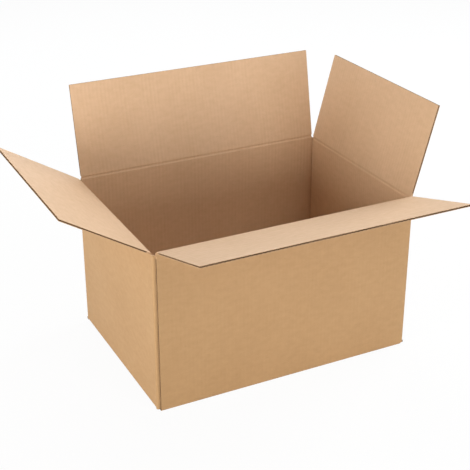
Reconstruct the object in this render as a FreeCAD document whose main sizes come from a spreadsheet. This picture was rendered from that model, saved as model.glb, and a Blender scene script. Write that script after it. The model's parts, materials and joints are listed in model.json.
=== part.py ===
"""Open carton of single-wall corrugated board: one sheet, creased, folded and glued at one corner.

Frame: millimetres, +Z up, origin at the centre of the base on the surface it stands on.
X runs along the long walls (+X right), Y across them (+Y back), the opening is on top.
"""
import FreeCAD, Part
import Sketcher
import os

document = FreeCAD.newDocument("open_carton")

# Driving sizes, in millimetres and degrees
SIZES = (
    ("inside_length", 430, "clear inside length, along X"),
    ("inside_width", 300, "clear inside width, along Y"),
    ("inside_height", 250, "clear inside height, between the closed flaps"),
    ("board", 3, "thickness of the board over both liners"),
    ("bottom_seam", 1.5, "gap between the two long bottom flaps"),
    ("top_seam", 6, "gap between the two long top flaps once they are closed"),
    ("slot_clearance", 1, "how far a flap's side edge stays off the wall it closes beside"),
    ("tuck_clearance", 0.3, "gap between a closed long flap and the short flap under it"),
    ("crease_gap", 0.3, "gap between the two halves of a crease once it is folded shut"),
    ("root_relief", 1.5, "how much the slot cuts into a flap's corner at the crease"),
    ("joint_reveal", 2.5, "flat strip of the joint tab that shows beside the front wall's cut edge"),
    ("tab_width", 35, "reach of the joint tab along the inside of the front wall"),
    ("tab_taper", 9, "drop of the joint tab's slanted ends"),
    ("flute_pitch", 6.45, "distance from one flute to the next"),
    ("liner", 0.4, "thickness of each flat liner"),
    ("medium", 0.3, "thickness of the fluted paper at its crests"),
    ("web", 0.45, "thickness of the fluted paper measured along the board on its slopes"),
    ("crest", 0.9, "width of the flat top of a flute's hollow"),
    ("flute_margin", 1.5, "least solid board left between the last flute and a flap's side edge"),
    ("crushed", 8, "length of board beside a crease whose flutes are pressed flat"),
    ("front_angle", 73, "angle that the front flap leans outwards from upright, in degrees"),
    ("back_angle", 11, "the same of the back flap"),
    ("left_angle", 58.5, "the same of the left flap"),
    ("right_angle", 15, "the same of the right flap"),
)
sheet = document.addObject("Spreadsheet::Sheet", "Sizes")
for row, (alias, value, meaning) in enumerate(SIZES, start=1):
    sheet.set(f"A{row}", str(value))
    sheet.setAlias(f"A{row}", alias)
    sheet.set(f"B{row}", meaning)
document.recompute()

# Places that several pieces share, worked out from the driving sizes
HALF_LENGTH = "(Sizes.inside_length / 2 + Sizes.board)"
HALF_WIDTH = "(Sizes.inside_width / 2 + Sizes.board)"
LONG_CREASE = "(Sizes.inside_height + 4 * Sizes.board + Sizes.tuck_clearance)"
SHORT_CREASE = "(Sizes.inside_height + 3 * Sizes.board)"
SLOT_INSET = "(Sizes.board + Sizes.slot_clearance)"
JOINT_INSET = "(Sizes.board + Sizes.joint_reveal)"
CREASE_HALF = "(Sizes.crease_gap / sqrt(2))"
BOTTOM_FLAP = f"({HALF_WIDTH} - Sizes.bottom_seam / 2)"
TOP_FLAP = f"({HALF_WIDTH} - Sizes.top_seam / 2)"
LONG_END = f"({HALF_LENGTH} - {SLOT_INSET})"
LONG_END_AT_JOINT = f"({HALF_LENGTH} - {JOINT_INSET})"
SHORT_END = f"({HALF_WIDTH} - {SLOT_INSET})"
SHORT_END_AT_JOINT = f"({HALF_WIDTH} - Sizes.board - {SLOT_INSET})"


def new_body(label):
    """Starts a body whose label is the node's name."""
    body = document.addObject("PartDesign::Body", label)
    body.Label = label
    return body


def new_sketch(body, name, plane, offset="0"):
    """Starts a sketch on one of the body's own origin planes, moved along its normal."""
    sketch = body.newObject("Sketcher::SketchObject", name)
    support = [item for item in body.Origin.OriginFeatures if item.Role == plane][0]
    sketch.AttachmentSupport = [(support, "")]
    sketch.MapMode = "FlatFace"
    if offset != "0":
        sketch.setExpression("AttachmentOffset.Base.z", offset)
        document.recompute()
    return sketch


def hold(sketch, edge, end, across, up):
    """Ties one end of an edge to a place given by two expressions."""
    for kind, expression in (("DistanceX", across), ("DistanceY", up)):
        value = float(sketch.evalExpression(expression))
        if value >= 0:
            number = sketch.addConstraint(Sketcher.Constraint(kind, -1, 1, edge, end, value))
            sketch.setExpression(f"Constraints[{number}]", expression)
        else:
            number = sketch.addConstraint(Sketcher.Constraint(kind, edge, end, -1, 1, -value))
            sketch.setExpression(f"Constraints[{number}]", f"-({expression})")


def draw_outline(sketch, corners):
    """Draws a closed outline of straight edges and quarter-round folds.

    Each corner is (across, up) or, where a fold starts, (across, up, centre across, centre up, turn):
    the edge that leaves it is then an arc about that centre, turning left for 1 and right for -1.
    """
    places = []
    for corner in corners:
        across, up = (float(sketch.evalExpression(text)) for text in corner[:2])
        places.append(FreeCAD.Vector(across, up, 0))
    edges = []
    for index, corner in enumerate(corners):
        start, stop = places[index], places[(index + 1) % len(corners)]
        if len(corner) == 2:
            edges.append((sketch.addGeometry(Part.LineSegment(start, stop), False), 1, 2))
            continue
        centre = FreeCAD.Vector(*(float(sketch.evalExpression(text)) for text in corner[2:4]), 0)
        circle = Part.Circle(centre, FreeCAD.Vector(0, 0, 1), (start - centre).Length)
        first, last = (circle.parameter(point) for point in ((start, stop) if corner[4] > 0 else (stop, start)))
        edge = sketch.addGeometry(Part.ArcOfCircle(circle, first, last), False)
        edges.append((edge, 1, 2) if corner[4] > 0 else (edge, 2, 1))
    for index, (edge, start, stop) in enumerate(edges):
        after, after_start, after_stop = edges[(index + 1) % len(edges)]
        sketch.addConstraint(Sketcher.Constraint("Coincident", edge, stop, after, after_start))
        hold(sketch, edge, start, corners[index][0], corners[index][1])
        if len(corners[index]) > 2:
            number = sketch.addConstraint(Sketcher.Constraint("Radius", edge, float(sheet.board)))
            sketch.setExpression(f"Constraints[{number}]", "Sizes.board")


def pad(body, sketch, ahead, behind=None):
    """Thickens a sketch along its normal, and also behind it where a second length is given."""
    feature = body.newObject("PartDesign::Pad", f"{sketch.Name}_pad")
    feature.Profile = sketch
    feature.setExpression("Length", ahead)
    if behind is not None:
        feature.SideType = "Two sides"
        feature.setExpression("Length2", behind)
    sketch.Visibility = False
    document.recompute()
    return feature


def cut_through(body, sketch):
    """Cuts a sketch out of everything that the body holds so far."""
    feature = body.newObject("PartDesign::Pocket", f"{sketch.Name}_cut")
    feature.Profile = sketch
    feature.Type = "ThroughAll"
    feature.SideType = "Symmetric"
    sketch.Visibility = False
    document.recompute()
    return feature


def signed(sign, expression):
    """Puts a place on the plus or the minus side of the middle."""
    return expression if sign > 0 else f"(-{expression})"


def joint_tab(body):
    """The left wall's front edge turns the corner and runs on behind the front wall as a glued tab."""
    left = f"(-{HALF_LENGTH})"
    inner_left = f"({left} + Sizes.board)"
    tab_end = f"({inner_left} + Sizes.tab_width)"
    outer = f"(-{HALF_WIDTH} + Sizes.board)"
    inner = f"({outer} + Sizes.board)"
    wall_end = f"({outer} + {SLOT_INSET})"
    section = new_sketch(body, "joint_tab", "XY_Plane", "Sizes.board")
    draw_outline(section, (
        (left, wall_end),
        (left, inner, inner_left, inner, 1),
        (inner_left, outer),
        (tab_end, outer),
        (tab_end, inner),
        (inner_left, inner),
        (inner_left, wall_end),
    ))
    pad(body, section, f"{SHORT_CREASE} - Sizes.board")
    ends = new_sketch(body, "tab_ends", "XZ_Plane")
    top_low = f"({SHORT_CREASE} - Sizes.tab_taper)"
    foot_high = "(Sizes.board + Sizes.tab_taper)"
    draw_outline(ends, ((inner_left, SHORT_CREASE), (tab_end, top_low), (tab_end, SHORT_CREASE)))
    draw_outline(ends, ((inner_left, "Sizes.board"), (tab_end, "Sizes.board"), (tab_end, foot_high)))
    cut_through(body, ends)


def wall_panel(body, name, plane, side, half, foot, crease, ahead, behind):
    """A wall with the half crease at its top and its bottom flap folded in, as one bent strip."""
    outer = signed(side, half)
    inner = signed(side, f"({half} - Sizes.board)")
    flap_edge = signed(side, f"({half} - {BOTTOM_FLAP})")
    fold_top = f"({foot} + Sizes.board)"
    crease_tip = f"({crease} - {CREASE_HALF})"
    profile = new_sketch(body, name, plane)
    draw_outline(profile, (
        (outer, crease_tip),
        (outer, fold_top, inner, fold_top, -side),
        (inner, foot),
        (flap_edge, foot),
        (flap_edge, fold_top),
        (inner, fold_top),
        (inner, f"({crease_tip} - Sizes.board)"),
    ))
    pad(body, profile, ahead, behind)


def corner_fold(body, name, side_x, side_y):
    """An upright fold between two walls, with the short stubs of wall that the slots leave."""
    outer_x = signed(side_x, HALF_LENGTH)
    outer_y = signed(side_y, HALF_WIDTH)
    inner_x = signed(side_x, f"({HALF_LENGTH} - Sizes.board)")
    inner_y = signed(side_y, f"({HALF_WIDTH} - Sizes.board)")
    end_x = signed(side_x, LONG_END)
    end_y = signed(side_y, SHORT_END)
    section = new_sketch(body, name, "XY_Plane", "Sizes.board")
    draw_outline(section, (
        (outer_x, end_y),
        (outer_x, inner_y, inner_x, inner_y, side_x * side_y),
        (inner_x, outer_y),
        (end_x, outer_y),
        (end_x, inner_y),
        (inner_x, inner_y),
        (inner_x, end_y),
    ))
    pad(body, section, f"{SHORT_CREASE} - Sizes.board")


def cut_flutes(body, plane, edge, foot, reach, low_end, high_end, along_normal):
    """Opens the hollows of the flutes in a flap's free edge, blind where the crease has crushed them.

    The sketch lies in the free edge, and foot is where the board starts on its upright axis.
    Each pitch has two hollows with the fluted paper between them: one open to the outer liner and
    one, half a pitch on, open to the inner liner.
    """
    count = f"floor(({low_end} + {high_end} - 2 * Sizes.flute_margin) / Sizes.flute_pitch)"
    middle = f"(({high_end} - {low_end}) / 2)"
    first = f"({middle} - {count} * Sizes.flute_pitch / 2 + Sizes.flute_pitch / 4)"
    second = f"({first} + Sizes.flute_pitch / 2)"
    core = "(Sizes.board - 2 * Sizes.liner)"
    ratio = f"({core} / ({core} - Sizes.medium))"
    wide = f"((Sizes.flute_pitch / 2 - Sizes.web - {ratio} * Sizes.crest / 2) / (2 - {ratio}))"
    narrow = "(Sizes.crest / 2)"
    low = f"({foot} + Sizes.liner)"
    high = f"({foot} + Sizes.board - Sizes.liner)"
    hollows = new_sketch(body, "flute_ends", plane, edge)
    draw_outline(hollows, (
        (f"{first} - {wide}", low),
        (f"{first} + {wide}", low),
        (f"{first} + {narrow}", f"{high} - Sizes.medium"),
        (f"{first} - {narrow}", f"{high} - Sizes.medium"),
    ))
    draw_outline(hollows, (
        (f"{second} - {narrow}", f"{low} + Sizes.medium"),
        (f"{second} + {narrow}", f"{low} + Sizes.medium"),
        (f"{second} + {wide}", high),
        (f"{second} - {wide}", high),
    ))
    one_pitch = body.newObject("PartDesign::Pocket", "one_flute")
    one_pitch.Profile = hollows
    one_pitch.Reversed = along_normal
    one_pitch.setExpression("Length", f"{reach} - Sizes.crushed")
    hollows.Visibility = False
    document.recompute()
    row = body.newObject("PartDesign::LinearPattern", "flute_row")
    row.Originals = [one_pitch]
    row.Direction = (hollows, ["H_Axis"])
    row.Mode = "Spacing"
    row.setExpression("Offset", "Sizes.flute_pitch")
    row.setExpression("Occurrences", count)
    body.Tip = row
    document.recompute()


def make_carton_body():
    """Goes round the sheet as it is folded: tab, left, back, right and front wall."""
    body = new_body("carton_body")
    joint_tab(body)
    wall_panel(body, "left_wall", "XZ_Plane", -1, HALF_LENGTH, "Sizes.board", SHORT_CREASE,
               SHORT_END_AT_JOINT, SHORT_END)
    corner_fold(body, "back_left_fold", -1, 1)
    wall_panel(body, "back_wall", "YZ_Plane", 1, HALF_WIDTH, "0 * Sizes.board", LONG_CREASE,
               LONG_END, LONG_END)
    corner_fold(body, "back_right_fold", 1, 1)
    wall_panel(body, "right_wall", "XZ_Plane", 1, HALF_LENGTH, "Sizes.board", SHORT_CREASE,
               SHORT_END, SHORT_END)
    corner_fold(body, "front_right_fold", 1, -1)
    wall_panel(body, "front_wall", "YZ_Plane", -1, HALF_WIDTH, "0 * Sizes.board", LONG_CREASE,
               LONG_END, LONG_END_AT_JOINT)
    for side, low_end in ((-1, SHORT_END_AT_JOINT), (1, SHORT_END)):
        edge = signed(side, f"({HALF_LENGTH} - {BOTTOM_FLAP})")
        cut_flutes(body, "YZ_Plane", edge, "Sizes.board", BOTTOM_FLAP, low_end, SHORT_END, side > 0)
    return body


def make_flap(label, low_end, high_end, place, yaw, angle):
    """A top flap. Its own frame has the crease line on X, the flap along +Y and the inner face up.

    The crease turns about the wall's outer face. Its inner side is pressed to a valley of which the
    flap and the wall each have one slope, so the two meet when the flap is folded shut.
    """
    body = new_body(label)
    outline = new_sketch(body, "outline", "XY_Plane")
    low, high = f"(-{low_end})", high_end
    draw_outline(outline, (
        (f"{low} + Sizes.root_relief", CREASE_HALF),
        (f"{high} - Sizes.root_relief", CREASE_HALF),
        (high, f"{CREASE_HALF} + {SLOT_INSET}"),
        (high, TOP_FLAP),
        (low, TOP_FLAP),
        (low, f"{CREASE_HALF} + {SLOT_INSET}"),
    ))
    pad(body, outline, "Sizes.board")
    slope = new_sketch(body, "crease_slope", "YZ_Plane")
    draw_outline(slope, (
        (CREASE_HALF, "0 * Sizes.board"),
        (f"{CREASE_HALF} + Sizes.board", "Sizes.board"),
        (CREASE_HALF, "Sizes.board"),
    ))
    cut_through(body, slope)
    cut_flutes(body, "XZ_Plane", f"-{TOP_FLAP}", "0 * Sizes.board", TOP_FLAP, low_end, high_end, True)
    across, back, height = place
    body.setExpression(
        "Placement",
        f"placement(vector({across}; {back}; {height}); rotation({yaw}; 0; 90 - Sizes.{angle}))",
    )
    return body


ON_AXIS = "0 * Sizes.board"
pieces = [
    make_carton_body(),
    make_flap("flap_back", LONG_END, LONG_END, (ON_AXIS, HALF_WIDTH, LONG_CREASE), 0, "back_angle"),
    make_flap("flap_left", SHORT_END_AT_JOINT, SHORT_END, (f"-{HALF_LENGTH}", ON_AXIS, SHORT_CREASE),
              90, "left_angle"),
    make_flap("flap_front", LONG_END, LONG_END_AT_JOINT, (ON_AXIS, f"-{HALF_WIDTH}", LONG_CREASE),
              180, "front_angle"),
    make_flap("flap_right", SHORT_END, SHORT_END, (HALF_LENGTH, ON_AXIS, SHORT_CREASE),
              270, "right_angle"),
]
document.recompute()

# Nothing is written unless every object came out whole
for item in document.Objects:
    if "Invalid" in item.State or "Error" in item.State:
        raise RuntimeError(f"{item.Name} did not recompute: {item.State}")
for piece in pieces:
    if piece.Shape.isNull() or not piece.Shape.isValid() or len(piece.Shape.Solids) != 1:
        raise RuntimeError(f"{piece.Label} is not one valid solid")

os.makedirs("parts", exist_ok=True)
for piece in pieces:
    piece.Shape.exportStep(f"parts/{piece.Label}.step")
    box = piece.Shape.BoundBox
    print(f"{piece.Label}: {piece.Shape.Volume / 1000:.1f} cm3, "
          f"x {box.XMin:.1f} to {box.XMax:.1f}, y {box.YMin:.1f} to {box.YMax:.1f}, "
          f"z {box.ZMin:.1f} to {box.ZMax:.1f}")
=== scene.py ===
# %% [markdown]
# An open carton
#
# The object is a plain shipping carton of brown corrugated board with its four top flaps open. One
# sheet makes all of it: two flat liner papers with a fluted paper glued between them, creased, slotted,
# folded and glued at one upright corner. The imported model gives the sizes, the places of the creases and
# the bodies that move. This script adds what the plain solids lack: true fluted edges, soft creases bent to
# their flaps' lean, rounded folds and the paper itself.

# %% Load the frame
import json
import math
import bmesh
import bpy
from mathutils import Matrix, Vector


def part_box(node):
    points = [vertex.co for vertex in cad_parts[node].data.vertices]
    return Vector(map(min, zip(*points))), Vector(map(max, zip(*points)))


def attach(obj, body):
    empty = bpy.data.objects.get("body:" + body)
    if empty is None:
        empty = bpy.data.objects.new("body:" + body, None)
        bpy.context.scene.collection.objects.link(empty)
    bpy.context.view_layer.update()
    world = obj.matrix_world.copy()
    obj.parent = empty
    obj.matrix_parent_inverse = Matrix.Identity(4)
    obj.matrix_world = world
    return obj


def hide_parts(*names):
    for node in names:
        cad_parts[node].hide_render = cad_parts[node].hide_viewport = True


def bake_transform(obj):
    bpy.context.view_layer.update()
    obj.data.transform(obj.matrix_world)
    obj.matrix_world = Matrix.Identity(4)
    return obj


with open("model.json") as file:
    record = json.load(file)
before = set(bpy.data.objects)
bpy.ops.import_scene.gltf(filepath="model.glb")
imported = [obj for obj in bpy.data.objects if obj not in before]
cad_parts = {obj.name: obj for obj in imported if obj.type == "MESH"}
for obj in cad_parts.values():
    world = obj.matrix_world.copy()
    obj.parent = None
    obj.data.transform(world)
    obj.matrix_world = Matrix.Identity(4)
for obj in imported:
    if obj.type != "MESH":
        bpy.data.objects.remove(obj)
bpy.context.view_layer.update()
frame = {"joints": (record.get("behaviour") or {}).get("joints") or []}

# %% [markdown]
# The board and its four sides
#
# Every later cell measures from here. A side of the carton is a wall, a crease and a flap. The joints of
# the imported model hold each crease's place and direction, and the range of the joint tells how far the
# flap leans out of the upright, because its lowest value is the flap folded shut. Reading these from the
# frame, and not typing them again, keeps the looks in step with the solids.

# %% Sizes of the board and the sides of the carton
BOARD = 0.003
LINER = 0.0005
MEDIUM = 0.0004
FLUTE_PITCH = 0.00645
SLOT_CLEARANCE = 0.001
ROOT_RELIEF = 0.0015
TAB_WIDTH = 0.035
TAB_TAPER = 0.009
CRUSHED = 0.008
BOTTOM_SEAM = 0.0015
INNER_LINER_DEPTH = BOARD * 0.97
PATTERN_STEP = 1.3
OPENING_SIDES = ("back", "left", "front", "right")

low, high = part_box("carton_body")
HALF_LENGTH = high.x
HALF_WIDTH = high.y


def read_side(index, name):
    """Collects what one side of the carton needs from its joint and its flap's solid."""
    joint = next(item for item in frame["joints"] if item["child"] == f"{name}_flap")
    along = -Vector(joint["axis"])
    outward = along.cross(Vector((0, 0, 1))) * -1
    hinge = Vector(joint["pos_m"])
    lean = math.radians(-joint["range_deg"][0] - 90)
    flap_low, flap_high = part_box(f"flap_{name}")
    spans = sorted((flap_low.dot(along), flap_high.dot(along)))
    tips = max(abs(corner.dot(outward)) for corner in (flap_low, flap_high))
    return {
        "name": name,
        "turn": math.atan2(along.y, along.x),
        "hinge": hinge,
        "outward": outward,
        "lean": lean,
        "start": spans[0],
        "end": spans[1],
        "flap": (tips - abs(hinge.dot(outward))) / math.sin(lean),
        "sheet_shift": PATTERN_STEP * index,
    }


sides = {name: read_side(index, name) for index, name in enumerate(OPENING_SIDES)}
for side in sides.values():
    print(f"{side['name']} lean {math.degrees(side['lean']):.1f} flap {side['flap'] * 1000:.1f} mm")
SHORT_CREASE = sides["left"]["hinge"].z
LONG_CREASE = sides["front"]["hinge"].z
BOTTOM_FLAP = HALF_WIDTH - BOTTOM_SEAM / 2

# %% [markdown]
# Keeping track of the flat sheet
#
# The fibres, the flutes and the mottling of the paper were there before the sheet was folded, so the
# patterns must follow the sheet round its folds. Object coordinates can't do that on a leaning flap. Each
# point therefore carries its place on the flat blank in an attribute called sheet: across the blank, up
# the blank, and a third number that is 0 on the outside liner, 1 on the inside liner and between them in
# the core. The same numbers sort the faces. A face between the liners is a raw edge where it was cut
# straight across the blank, and the inside of a flute otherwise.

# %% Helpers that stamp, place and finish a piece of board
OUTSIDE, INSIDE, RAW_EDGE, FLUTE = 0, 1, 2, 3
made_pieces = []


def new_board():
    """An empty mesh whose points can hold their place on the flat blank."""
    bm = bmesh.new()
    bm.verts.layers.float_vector.new("sheet")
    return bm


def stamp(bm, place, verts=None):
    """Writes each point's place on the blank, given by a function of its position."""
    layer = bm.verts.layers.float_vector["sheet"]
    for vert in verts or bm.verts:
        vert[layer] = place(vert.co)


def sort_faces(bm):
    """Gives each face the finish of a liner, of a raw edge or of a flute's inside."""
    layer = bm.verts.layers.float_vector["sheet"]
    for face in bm.faces:
        across, up, depth = zip(*(vert[layer] for vert in face.verts))
        straight_cut = min(max(across) - min(across), max(up) - min(up)) < 0.00001 and max(depth) > min(depth)
        if max(depth) < 0.05:
            face.material_index = OUTSIDE
        elif min(depth) > 0.95:
            face.material_index = INSIDE
        else:
            # Core faces that are not a straight cut take the flute finish, whose near-black colour is painted
            # shade.
            face.material_index = RAW_EDGE if straight_cut else FLUTE


def stand_up(side, lean=0.0, at=None):
    """The turn and shift that put a part of a side, made lying down, where it belongs."""
    upright = Matrix.Rotation(math.pi / 2 - lean, 4, "X")
    return Matrix.Translation(at or side["hinge"]) @ Matrix.Rotation(side["turn"], 4, "Z") @ upright


def join_into(target, part):
    """Adds one bmesh to another and frees it."""
    mesh = bpy.data.meshes.new("part")
    part.to_mesh(mesh)
    part.free()
    target.from_mesh(mesh)
    bpy.data.meshes.remove(mesh)


def finish_board(name, bm, smooth_angle=35):
    """Turns a finished bmesh into an object in the scene, with its faces pointing outwards."""
    bmesh.ops.recalc_face_normals(bm, faces=bm.faces)
    sort_faces(bm)
    mesh = bpy.data.meshes.new(name)
    bm.to_mesh(mesh)
    bm.free()
    mesh.shade_smooth()
    mesh.set_sharp_from_angle(angle=math.radians(smooth_angle))
    piece = bpy.data.objects.new(name, mesh)
    bpy.context.scene.collection.objects.link(piece)
    made_pieces.append(piece)
    print(name, len(mesh.polygons), "faces")
    return piece


# %% [markdown]
# Real corrugated board at a cut edge
#
# Board shows its make-up wherever it is cut across the flutes: a wave of paper between two straight ones.
# A flat slab with a striped texture gives that away in any close view, so this cell builds board as it
# is: a thin box for each liner, and between them a grid whose points are lifted into a wave and thickened
# by solidify. The grid needs many columns but only one row, because the flutes run straight. The top
# flaps are made of it whole, and the two short bottom flaps at their free ends.

# %% Liners and fluted paper
WAVE_STEPS = 12
WAVE_FLATNESS = 1.6


def liner_box(start, end, near, far, height):
    """One flat liner paper."""
    bm = new_board()
    size = Vector((end - start, far - near, LINER))
    middle = Vector(((end + start) / 2, (far + near) / 2, height + LINER / 2))
    bmesh.ops.create_cube(bm, size=1.0, matrix=Matrix.Translation(middle) @ Matrix.Diagonal((*size, 1)))
    return bm


def fluted_paper(start, end, near, far):
    """The wave of paper between the liners."""
    bm = new_board()
    columns = round((end - start) / FLUTE_PITCH * WAVE_STEPS)
    middle = Vector(((end + start) / 2, (far + near) / 2, BOARD / 2))
    grid = Matrix.Translation(middle) @ Matrix.Diagonal((end - start, far - near, 1, 1))
    bmesh.ops.create_grid(bm, x_segments=columns, y_segments=1, size=0.5, matrix=grid)
    swing = (BOARD - 2 * LINER - MEDIUM) / 2
    for vert in bm.verts:
        wave = -math.cos(2 * math.pi * (vert.co.x - start) / FLUTE_PITCH)
        crest = math.tanh(WAVE_FLATNESS * wave) / math.tanh(WAVE_FLATNESS)
        vert.co.z += swing * crest - MEDIUM / 2
    bmesh.ops.solidify(bm, geom=bm.faces, thickness=-MEDIUM)
    return bm


def fluted_board(start, end, near, far):
    """Two liners with the wave between them, lying down with the outside liner below."""
    bm = new_board()
    join_into(bm, liner_box(start, end, near, far, 0.0))
    join_into(bm, liner_box(start, end, near, far, BOARD - LINER))
    join_into(bm, fluted_paper(start, end, near, far - LINER / 2))
    return bm

# %% [markdown]
# The walls and the bottom
#
# A wall and its bottom flap are one strip of board with a right-angled fold. Drawn from the side, that
# strip is an outline of six corners, so the cell makes that outline as one face, rounds the fold's outer
# corner with a bevel, and extrudes the face along the wall. A box with a bevel would round the inner
# corner too, which folded board doesn't do. The strip's ends are cut along the flutes, where board is
# two thin papers with a dark gap between them, so an inset makes the rim and a second one the gap, a real
# hollow whose dark is also painted shade from the flute finish. The two short bottom flaps end inside the
# carton with a row of open flutes, made by the cell above.

# %% Folded strips for the four walls
FOLD_STEPS = 7
GAP_DEPTH = 0.004
FLUTED_END = 0.012


def open_raw_edge(bm, faces):
    """Hollows a cut edge so that only the two liners are left at its rim, and tells the hollow's points."""
    hollow = set()
    for thickness in (LINER, LINER / 10):
        bmesh.ops.inset_region(bm, faces=faces, thickness=thickness, use_even_offset=True)
        rim = {vert for face in faces for vert in face.verts}
        hollow |= rim
    inward = -sum((face.normal for face in faces), Vector()).normalized()
    bmesh.ops.translate(bm, verts=list(rim), vec=inward * GAP_DEPTH)
    return hollow


def extrude_outline(bm, corners, round_corner, travel, place, open_ends=True):
    """Makes one flat outline, rounds one corner as a fold, extrudes it and stamps it."""
    verts = [bm.verts.new(corner) for corner in corners]
    bm.faces.new(verts)
    bmesh.ops.bevel(bm, geom=[verts[round_corner]], offset=BOARD, segments=FOLD_STEPS, profile=0.5,
                    affect="VERTICES", material=-1)
    raised = bmesh.ops.extrude_face_region(bm, geom=list(bm.faces))
    moved = [item for item in raised["geom"] if isinstance(item, bmesh.types.BMVert)]
    bmesh.ops.translate(bm, verts=moved, vec=travel)
    bmesh.ops.recalc_face_normals(bm, faces=bm.faces)
    stamp(bm, place)
    if open_ends:
        direction = Vector(travel).normalized()
        for sense in (1, -1):
            caps = [face for face in bm.faces if face.normal.dot(direction) * sense > 0.99]
            hollow = open_raw_edge(bm, caps)
            # The hollow's points count as core, so the hollow takes the flute finish and its painted shade.
            stamp(bm, lambda co: (*place(co)[:2], 0.5), hollow)


def wall_strip(side, foot, crease, reach):
    """A wall from under its crease down to its bottom flap, lying down with its outer face below."""
    bm = new_board()
    top = crease - CRUSHED
    outline = ((top, 0), (foot, 0), (foot, reach), (foot + BOARD, reach), (foot + BOARD, BOARD), (top, BOARD))
    corners = [(side["start"], up, depth) for up, depth in outline]

    def place(co):
        depth = 1.0 if min(co.z, co.y - foot) > INNER_LINER_DEPTH else 0.0
        return (co.x + side["sheet_shift"], co.y - co.z, depth)

    extrude_outline(bm, corners, 1, (side["end"] - side["start"], 0, 0), place)
    base = Vector((side["hinge"].x, side["hinge"].y, 0))
    bmesh.ops.transform(bm, matrix=stand_up(side, at=base), verts=bm.verts)
    return bm


def bottom_flap_end(side, foot):
    """The last few millimetres of a bottom flap, with the flutes open."""
    bm = fluted_board(-side["end"], -side["start"], BOTTOM_FLAP - FLUTED_END, BOTTOM_FLAP)
    stamp(bm, lambda co: (side["sheet_shift"] - co.x, foot - co.y, co.z / BOARD))
    base = Vector((side["hinge"].x, side["hinge"].y, foot))
    turn = Matrix.Rotation(side["turn"] + math.pi, 4, "Z")
    bmesh.ops.transform(bm, matrix=Matrix.Translation(base) @ turn, verts=bm.verts)
    return bm


carton = new_board()
for name in OPENING_SIDES:
    if name in ("front", "back"):
        join_into(carton, wall_strip(sides[name], 0.0, LONG_CREASE, BOTTOM_FLAP))
    else:
        join_into(carton, wall_strip(sides[name], BOARD, SHORT_CREASE, BOTTOM_FLAP - FLUTED_END))
        join_into(carton, bottom_flap_end(sides[name], BOARD))
print("walls:", len(carton.faces), "faces")

# %% [markdown]
# Upright folds and the glued joint
#
# Between two walls the sheet turns a corner. The slots that free the flaps are a little wider than the
# board, so a short stub of each wall stands beside the fold. Three corners are alike. At the fourth the
# sheet ends: the left wall turns the corner one board thickness further in and carries on as a glued tab
# behind the front wall. That leaves the narrow sunk band that the near corner shows, with the front
# wall's raw edge as a dark line beside it.

# %% Three plain folds and the joint tab
STUB = BOARD + SLOT_CLEARANCE
PINCH = 0.0012
FOLD_SHIFT_X = 7.0
FOLD_SHIFT_Y = 3.0
JOINT_SHIFT = 5.0


def plain_fold(sign_x, sign_y):
    """The upright fold of one corner, from the bottom slot to the top slot."""
    bm = new_board()
    outer = Vector((sign_x * HALF_LENGTH, sign_y * HALF_WIDTH, BOARD))
    groove = ((BOARD, BOARD + PINCH / 2), (BOARD - PINCH, BOARD - PINCH), (BOARD + PINCH / 2, BOARD))
    shape = ((0, 0), (0, STUB), (BOARD, STUB), *groove, (STUB, BOARD), (STUB, 0))
    corners = [outer - Vector((sign_x * x, sign_y * y, 0)) for x, y in shape]

    def place(co):
        depth_x = HALF_LENGTH - abs(co.x)
        depth_y = HALF_WIDTH - abs(co.y)
        inner = min(depth_x, depth_y) > (BOARD - PINCH) * 0.97
        shift = FOLD_SHIFT_X * sign_x + FOLD_SHIFT_Y * sign_y
        return (depth_x - depth_y + shift, co.z, 1.0 if inner else 0.0)

    extrude_outline(bm, corners, 0, (0, 0, SHORT_CREASE - BOARD), place)
    return bm


def joint_fold():
    """The left wall's turn at the near corner and the tab behind the front wall."""
    bm = new_board()
    left = -HALF_LENGTH
    outer = -HALF_WIDTH + BOARD
    tab_end = left + BOARD + TAB_WIDTH
    shape = ((left, outer), (left, outer + STUB), (left + BOARD, outer + STUB), (left + BOARD, outer + BOARD),
             (tab_end, outer + BOARD), (tab_end, outer))
    corners = [(x, y, BOARD) for x, y in shape]

    def place(co):
        depth = 1.0 if min(co.x - left, co.y - outer) > INNER_LINER_DEPTH else 0.0
        return (co.x - co.y + JOINT_SHIFT, co.z, depth)

    extrude_outline(bm, corners, 0, (0, 0, SHORT_CREASE - BOARD), place, open_ends=False)
    for vert in bm.verts:
        if vert.co.x > tab_end - LINER:
            vert.co.z += TAB_TAPER if vert.co.z < SHORT_CREASE / 2 else -TAB_TAPER
    return bm


for sign_x, sign_y in ((-1, 1), (1, 1), (1, -1)):
    join_into(carton, plain_fold(sign_x, sign_y))
join_into(carton, joint_fold())
carton_sheet = finish_board("carton_sheet", carton)
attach(carton_sheet, "box")
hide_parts("carton_body")

# %% [markdown]
# The four top flaps
#
# A flap is fluted board and nothing else, cut square. It is made lying down from its crease outwards, so
# its own thickness points up, and is then leaned by the angle that its joint tells. The first few
# millimetres beyond the crease are left out here, because that zone was pressed and has to bend.

# %% Flaps
def make_flap(side):
    """A whole flap beyond its crease, leaning as the photo shows it."""
    board = fluted_board(side["start"], side["end"], CRUSHED, side["flap"])
    stamp(board, lambda co: (co.x + side["sheet_shift"], co.y + side["hinge"].z, co.z / BOARD))
    bmesh.ops.transform(board, matrix=stand_up(side, side["lean"]), verts=board.verts)
    piece = finish_board(f"{side['name']}_flap_board", board)
    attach(piece, f"{side['name']}_flap")
    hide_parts(f"flap_{side['name']}")
    return piece


for side in sides.values():
    make_flap(side)

# %% [markdown]
# Creases that bend
#
# The crease is where the board was pressed to a narrow valley on the inside. It belongs to the wall and
# the flap at once, so it can't ride on either: a strip of its own crosses the line. It starts flat as a
# grid, gets its valley when it is thickened, and is then
# rolled to the flap's lean, each row by its own share of the angle.

# %% Crease strips
CREASE_ROWS = 48
VALLEY_HALF = 0.0028
VALLEY_DEPTH = 0.0008
ROLL_HALF = 0.0016


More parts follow.
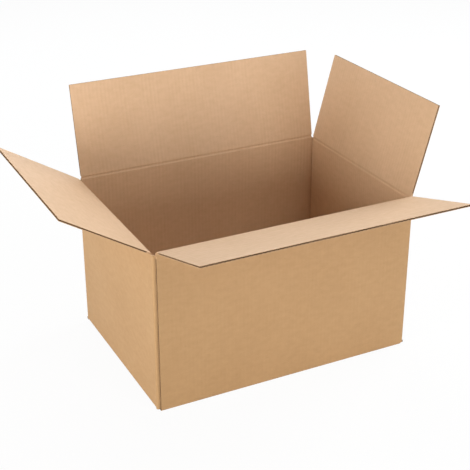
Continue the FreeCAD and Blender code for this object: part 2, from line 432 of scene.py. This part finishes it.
def crease_share(distance):
    """How much of the flap's turn a row takes, from none on the wall to all on the flap."""
    share = min(1.0, max(0.0, (distance + ROLL_HALF) / (2 * ROLL_HALF)))
    return share * share * (3 - 2 * share)


def valley(distance):
    """Height of the inside liner over the outside one across the crease."""
    if abs(distance) > VALLEY_HALF:
        return BOARD
    return BOARD - VALLEY_DEPTH * 0.5 * (1 + math.cos(math.pi * distance / VALLEY_HALF))


def make_crease(side):
    """The pressed strip between a wall and its flap."""
    bm = new_board()
    width = side["end"] - side["start"]
    middle = Vector(((side["end"] + side["start"]) / 2, 0, 0))
    grid = Matrix.Translation(middle) @ Matrix.Diagonal((width, 2 * CRUSHED, 1, 1))
    bmesh.ops.create_grid(bm, x_segments=1, y_segments=CREASE_ROWS, size=0.5, matrix=grid)
    raised = bmesh.ops.extrude_face_region(bm, geom=list(bm.faces))
    inner = [item for item in raised["geom"] if isinstance(item, bmesh.types.BMVert)]
    for vert in inner:
        vert.co.z = valley(vert.co.y)
    lifted = set(inner)
    layer = bm.verts.layers.float_vector["sheet"]
    for vert in bm.verts:
        at_end = 1 if vert.co.x > middle.x else -1
        cut_back = max(0.0, 1 - vert.co.y / STUB) if vert.co.y > 0 else 0.0
        depth = 1.0 if vert in lifted else 0.0
        vert[layer] = (vert.co.x + side["sheet_shift"], vert.co.y + side["hinge"].z, depth)
        vert.co.x -= at_end * ROOT_RELIEF * cut_back
    for vert in bm.verts:
        turn = Matrix.Rotation(-side["lean"] * crease_share(vert.co.y), 4, "X")
        vert.co = turn @ vert.co
    bmesh.ops.transform(bm, matrix=stand_up(side), verts=bm.verts)
    piece = finish_board(f"{side['name']}_crease", bm, smooth_angle=60)
    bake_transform(piece)
    return piece


for side in sides.values():
    make_crease(side)

# %% [markdown]
# Paper as a node group
#
# Kraft paper isn't one brown. Seen close it has fine fibres that lie along the paper machine's run,
# seen from a step away it is mottled in soft clouds, and over a whole wall it drifts a little in tone.
# All four finishes use the same paper, so the pattern is one group that reads the place on the blank and
# puts out a tone and a height. Each material then mixes its own two colours by that tone.

# %% Node helpers and the paper group
FIBRE_SCALE = 1400.0
THREAD_SCALE = 900.0
CLOUD_SCALE = 130.0
DRIFT_SCALE = 9.0


def add(tree, kind, settings=None, **inputs):
    """Adds a node, sets its options, and feeds its inputs with values or with other nodes' sockets."""
    node = tree.nodes.new(kind)
    for key, value in (settings or {}).items():
        setattr(node, key, value)
    for key, value in inputs.items():
        by_number = key[0] == "i" and key[1:].isdigit()
        socket = node.inputs[int(key[1:]) if by_number else key.replace("_", " ")]
        if isinstance(value, bpy.types.NodeSocket):
            tree.links.new(value, socket)
        else:
            socket.default_value = value
    return node


def math_node(tree, operation, first, second=0.0):
    """A Math node's result."""
    return add(tree, "ShaderNodeMath", {"operation": operation}, i0=first, i1=second).outputs[0]


def new_group(name, inputs, outputs):
    """Starts a node group with named sockets and returns it with its two end nodes."""
    group = bpy.data.node_groups.new(name, "ShaderNodeTree")
    for label, kind, default in inputs:
        socket = group.interface.new_socket(label, in_out="INPUT", socket_type=kind)
        if default is not None:
            socket.default_value = default
    for label, kind in outputs:
        group.interface.new_socket(label, in_out="OUTPUT", socket_type=kind)
    return group, group.nodes.new("NodeGroupInput"), group.nodes.new("NodeGroupOutput")


def stretched_noise(tree, vector, stretch, scale, detail=2.0):
    """Noise whose grains are longer one way than the other."""
    mapping = add(tree, "ShaderNodeMapping", None, Vector=vector, Scale=stretch)
    noise = add(tree, "ShaderNodeTexNoise", None, Vector=mapping.outputs[0], Scale=scale, Detail=detail)
    return noise.outputs["Fac"]


def make_paper_group():
    """Kraft paper: fibres, flecks, clouds and drift."""
    group, start, end = new_group(
        "kraft_paper",
        [("Sheet", "NodeSocketVector", None), ("Contrast", "NodeSocketFloat", 1.0)],
        [("Tone", "NodeSocketFloat"), ("Height", "NodeSocketFloat"), ("Flecks", "NodeSocketFloat")],
    )
    sheet = start.outputs["Sheet"]
    fibres = stretched_noise(group, sheet, (0.35, 1.0, 1.0), FIBRE_SCALE, 3.0)
    threads = stretched_noise(group, sheet, (0.12, 1.0, 1.0), THREAD_SCALE)
    clouds = stretched_noise(group, sheet, (0.6, 1.0, 1.0), CLOUD_SCALE, 3.0)
    drift = stretched_noise(group, sheet, (1.0, 1.0, 1.0), DRIFT_SCALE, 1.0)
    fine = math_node(group, "MULTIPLY_ADD", fibres, 0.9)
    fine.node.inputs[2].default_value = -0.45
    patch = math_node(group, "MULTIPLY_ADD", clouds, 1.1)
    patch.node.inputs[2].default_value = -0.55
    slow = math_node(group, "MULTIPLY_ADD", drift, 0.8)
    slow.node.inputs[2].default_value = -0.4
    total = math_node(group, "ADD", math_node(group, "ADD", fine, patch), slow)
    tone = math_node(group, "MULTIPLY_ADD", total, start.outputs["Contrast"])
    tone.node.inputs[2].default_value = 0.5
    tone.node.use_clamp = True
    flecks = add(group, "ShaderNodeMapRange", None, Value=threads, From_Min=0.68, From_Max=0.76).outputs[0]
    group.links.new(tone, end.inputs["Tone"])
    height = math_node(group, "ADD", fibres, math_node(group, "MULTIPLY", clouds, 0.6))
    group.links.new(height, end.inputs["Height"])
    group.links.new(flecks, end.inputs["Flecks"])
    return group


paper_group = make_paper_group()
print("group", paper_group.name, "has", len(paper_group.nodes), "nodes")

# %% [markdown]
# Flutes that show through
#
# The liners are glued to the crests of the flutes and sink a little between them, so both faces of the
# board have a faint washboard of upright lines, stronger on the inside. It is far too shallow for real
# geometry: a few hundredths of a millimetre. A sine over the blank's first coordinate serves the bump, and
# it also tints the colour as painted light and shade of the ridges; slow noise makes it fade in and out as
# glue and pressure did.

# %% The washboard group
FADE_SCALE = 45.0


def make_washboard_group():
    """Faint upright lines at the pitch of the flutes."""
    group, start, end = new_group(
        "washboard_relief_painted_shade",
        [("Sheet", "NodeSocketVector", None), ("Pitch", "NodeSocketFloat", FLUTE_PITCH)],
        [("Wave", "NodeSocketFloat")],
    )
    parts = add(group, "ShaderNodeSeparateXYZ", None, Vector=start.outputs["Sheet"])
    turns = math_node(group, "DIVIDE", parts.outputs[0], start.outputs["Pitch"])
    wave = math_node(group, "SINE", math_node(group, "MULTIPLY", turns, 2 * math.pi))
    amount = stretched_noise(group, start.outputs["Sheet"], (1.0, 0.25, 1.0), FADE_SCALE, 2.0)
    amount = add(group, "ShaderNodeMapRange", None, Value=amount, From_Min=0.3, From_Max=0.7).outputs[0]
    group.links.new(math_node(group, "MULTIPLY", wave, amount), end.inputs["Wave"])
    return group


washboard_group = make_washboard_group()

# %% [markdown]
# Four finishes of one board
#
# The outside liner, the inside liner, the raw edge and the inside of the flutes differ in colour and in
# how strongly the flutes show, and not in kind. One function makes all four from named values. A cut edge
# is browner and rougher than the liners. The inside of the flutes is given a near-black brown, painted
# shade for the light that hardly reaches it, so it reads as the dark dots along a cut edge.

# %% Board materials
GRAIN_HEIGHT = 0.00002
ROUGHNESS_SWING = 0.07


def board_material(name, light, dark, washboard_relief_painted_shade, relief, roughness, shine):
    """A matt paper finish that follows the flat blank."""
    material = bpy.data.materials.new(name)
    material.use_nodes = True
    tree = material.node_tree
    tree.nodes.clear()
    sheet = add(tree, "ShaderNodeAttribute", {"attribute_name": "sheet"}).outputs["Vector"]
    paper = add(tree, "ShaderNodeGroup", {"node_tree": paper_group}, Sheet=sheet, Contrast=0.85)
    flutes = add(tree, "ShaderNodeGroup", {"node_tree": washboard_group}, Sheet=sheet, Pitch=FLUTE_PITCH)
    # The washboard wave also tints the tone: painted light and shade along the flute ridges.
    tone = math_node(tree, "MULTIPLY_ADD", flutes.outputs["Wave"], washboard_relief_painted_shade)
    tree.links.new(paper.outputs["Tone"], tone.node.inputs[2])
    tone.node.use_clamp = True
    colour = add(tree, "ShaderNodeMix", {"data_type": "RGBA"}, Factor=tone)
    colour.inputs["A"].default_value = (*dark, 1)
    colour.inputs["B"].default_value = (*light, 1)
    fleck_mask = math_node(tree, "MULTIPLY", paper.outputs["Flecks"], 0.35)
    flecked = add(tree, "ShaderNodeMix", {"data_type": "RGBA"}, Factor=fleck_mask)
    tree.links.new(colour.outputs["Result"], flecked.inputs["A"])
    flecked.inputs["B"].default_value = (*(value * 0.55 for value in dark), 1)
    grain = math_node(tree, "MULTIPLY", paper.outputs["Height"], GRAIN_HEIGHT)
    ridges = math_node(tree, "MULTIPLY", flutes.outputs["Wave"], relief)
    height = math_node(tree, "ADD", grain, ridges)
    bump = add(tree, "ShaderNodeBump", None, Strength=1.0, Distance=1.0, Height=height)
    rough = add(tree, "ShaderNodeMapRange", None, Value=tone)
    rough.inputs["To Min"].default_value = roughness + ROUGHNESS_SWING
    rough.inputs["To Max"].default_value = roughness - ROUGHNESS_SWING
    shader = add(tree, "ShaderNodeBsdfPrincipled", None, Roughness=rough.outputs[0], Normal=bump.outputs[0])
    tree.links.new(flecked.outputs["Result"], shader.inputs["Base Color"])
    shader.inputs["Specular IOR Level"].default_value = shine
    add(tree, "ShaderNodeOutputMaterial", None, Surface=shader.outputs[0])
    return material


# The fourth value of each finish is its share of painted light and shade along the flute ridges; the fifth is
# the real bump.
finishes = [
    board_material("liner_outside", (0.47, 0.284, 0.13), (0.39, 0.229, 0.10), 0.07, 0.00003, 0.66, 0.5),
    board_material("liner_inside", (0.685, 0.463, 0.29), (0.57, 0.376, 0.22), 0.11, 0.00006, 0.66, 0.5),
    board_material("raw_edge", (0.58, 0.38, 0.225), (0.46, 0.29, 0.165), 0.0, 0.0, 0.9, 0.1),
    # Near-black brown: painted shade deep in the flutes, much darker than the fluted paper itself.
    board_material("flute_inside_painted_shade", (0.21, 0.125, 0.065), (0.15, 0.09, 0.045), 0.0, 0.0, 0.9, 0.1),
]
for piece in made_pieces:
    for finish in finishes:
        piece.data.materials.append(finish)
print("finishes:", [finish.name for finish in finishes])

# %% [markdown]
# Floor, light and camera
#
# The carton stands on white with no horizon, lit by broad soft light from all sides: two high panels
# behind it and to its right, a low one for each of the two walls that face the camera, a high one in
# front and one above. The floor is pale and mostly shows as plain white to the camera, and keeps a soft
# shadow. The camera's place and lens come from matching the carton's own corners to the photo.

# %% Studio
FLOOR_SIZE = 14.0
WHITE_SHARE = 0.95
CAMERA_PLACE = (-0.726, -1.4146, 0.9458)
CAMERA_AZIMUTH = math.radians(-26.74)
CAMERA_ELEVATION = math.radians(25.73)
FOCAL_PIXELS = 1098.8
PHOTO_PIXELS = 470


def camera_sees_white(tree, lit, share):
    """Mixes plain white over a shader for the camera and for mirror-like rays."""
    path = add(tree, "ShaderNodeLightPath")
    seen = math_node(tree, "MAXIMUM", path.outputs["Is Camera Ray"], path.outputs["Is Glossy Ray"])
    seen = math_node(tree, "MAXIMUM", seen, path.outputs["Is Transmission Ray"])
    white = "ShaderNodeBackground" if lit.node.type == "BACKGROUND" else "ShaderNodeEmission"
    plain = add(tree, white, None, Color=(1, 1, 1, 1), Strength=1.0)
    mixed = add(tree, "ShaderNodeMixShader", None, i0=math_node(tree, "MULTIPLY", seen, share), i1=lit)
    tree.links.new(plain.outputs[0], mixed.inputs[2])
    return mixed.outputs[0]


def beside_carton(tree):
    """1 on the open floor and 0 below the carton, where the bottom's seam lets the camera see it."""
    place = add(tree, "ShaderNodeTexCoord").outputs["Object"]
    parts = add(tree, "ShaderNodeSeparateXYZ", None, Vector=place)
    below_x = math_node(tree, "LESS_THAN", math_node(tree, "ABSOLUTE", parts.outputs[0]), HALF_LENGTH * 0.95)
    below_y = math_node(tree, "LESS_THAN", math_node(tree, "ABSOLUTE", parts.outputs[1]), HALF_WIDTH * 0.95)
    return math_node(tree, "SUBTRACT", 1.0, math_node(tree, "MULTIPLY", below_x, below_y))


def make_floor():
    """A wide pale floor."""
    bm = bmesh.new()
    bmesh.ops.create_grid(bm, x_segments=1, y_segments=1, size=FLOOR_SIZE / 2)
    mesh = bpy.data.meshes.new("floor")
    bm.to_mesh(mesh)
    bm.free()
    floor = bpy.data.objects.new("floor", mesh)
    bpy.context.scene.collection.objects.link(floor)
    material = bpy.data.materials.new("pale_floor")
    material.use_nodes = True
    tree = material.node_tree
    tree.nodes.clear()
    matt = add(tree, "ShaderNodeBsdfDiffuse", None, Color=(0.86, 0.86, 0.86, 1))
    share = math_node(tree, "MULTIPLY", beside_carton(tree), WHITE_SHARE)
    add(tree, "ShaderNodeOutputMaterial", None, Surface=camera_sees_white(tree, matt.outputs[0], share))
    mesh.materials.append(material)


def make_world(strength):
    """Even light from all round, white to the camera."""
    world = bpy.data.worlds.new("studio")
    bpy.context.scene.world = world
    world.use_nodes = True
    tree = world.node_tree
    tree.nodes.clear()
    light = add(tree, "ShaderNodeBackground", None, Color=(1, 1, 1, 1), Strength=strength)
    add(tree, "ShaderNodeOutputWorld", None, Surface=camera_sees_white(tree, light.outputs[0], 1.0))


def soft_light(name, place, target, size, power, colour=(1, 1, 1)):
    """A large square lamp that faces a point."""
    data = bpy.data.lights.new(name, "AREA")
    data.shape, data.size, data.energy, data.color = "SQUARE", size, power, colour
    lamp = bpy.data.objects.new(name, data)
    lamp.location = place
    lamp.rotation_mode = "QUATERNION"
    lamp.rotation_quaternion = (Vector(target) - Vector(place)).to_track_quat("-Z", "Y")
    lamp.visible_camera = False
    bpy.context.scene.collection.objects.link(lamp)


def make_camera():
    """The photo's own view."""
    data = bpy.data.cameras.new("camera")
    data.sensor_width = 36.0
    data.lens = data.sensor_width * FOCAL_PIXELS / PHOTO_PIXELS
    camera = bpy.data.objects.new("camera", data)
    level = Vector((-math.sin(CAMERA_AZIMUTH), math.cos(CAMERA_AZIMUTH), 0))
    forward = level * math.cos(CAMERA_ELEVATION) - Vector((0, 0, math.sin(CAMERA_ELEVATION)))
    camera.location = CAMERA_PLACE
    camera.rotation_mode = "QUATERNION"
    camera.rotation_quaternion = forward.to_track_quat("-Z", "Y")
    bpy.context.scene.collection.objects.link(camera)
    bpy.context.scene.camera = camera


make_floor()
make_world(0.05)
soft_light("overhead", (0, 0, 2.2), (0, 0, 0.25), 1.6, 10.0)
soft_light("back_panel", (0.3, 1.9, 1.5), (0, 0, 0.25), 1.3, 23.0, (0.965, 1.0, 1.034))
soft_light("right_panel", (2.0, 0.5, 1.4), (0, 0, 0.25), 1.3, 40.0, (0.956, 1.0, 1.044))
soft_light("left_panel", (-2.3, -0.65, 0.45), (0, 0, 0.25), 1.0, 50.0, (1.023, 1.0, 0.965))
soft_light("front_panel", (0.5, -2.35, 0.42), (0, 0, 0.25), 1.0, 28.0, (1.018, 1.0, 0.976))
soft_light("front_high_panel", (0.6, -1.7, 1.9), (0, 0, 0.25), 1.2, 12.0, (1.03, 1.0, 0.976))
make_camera()
bpy.context.scene.view_settings.view_transform = "Standard"
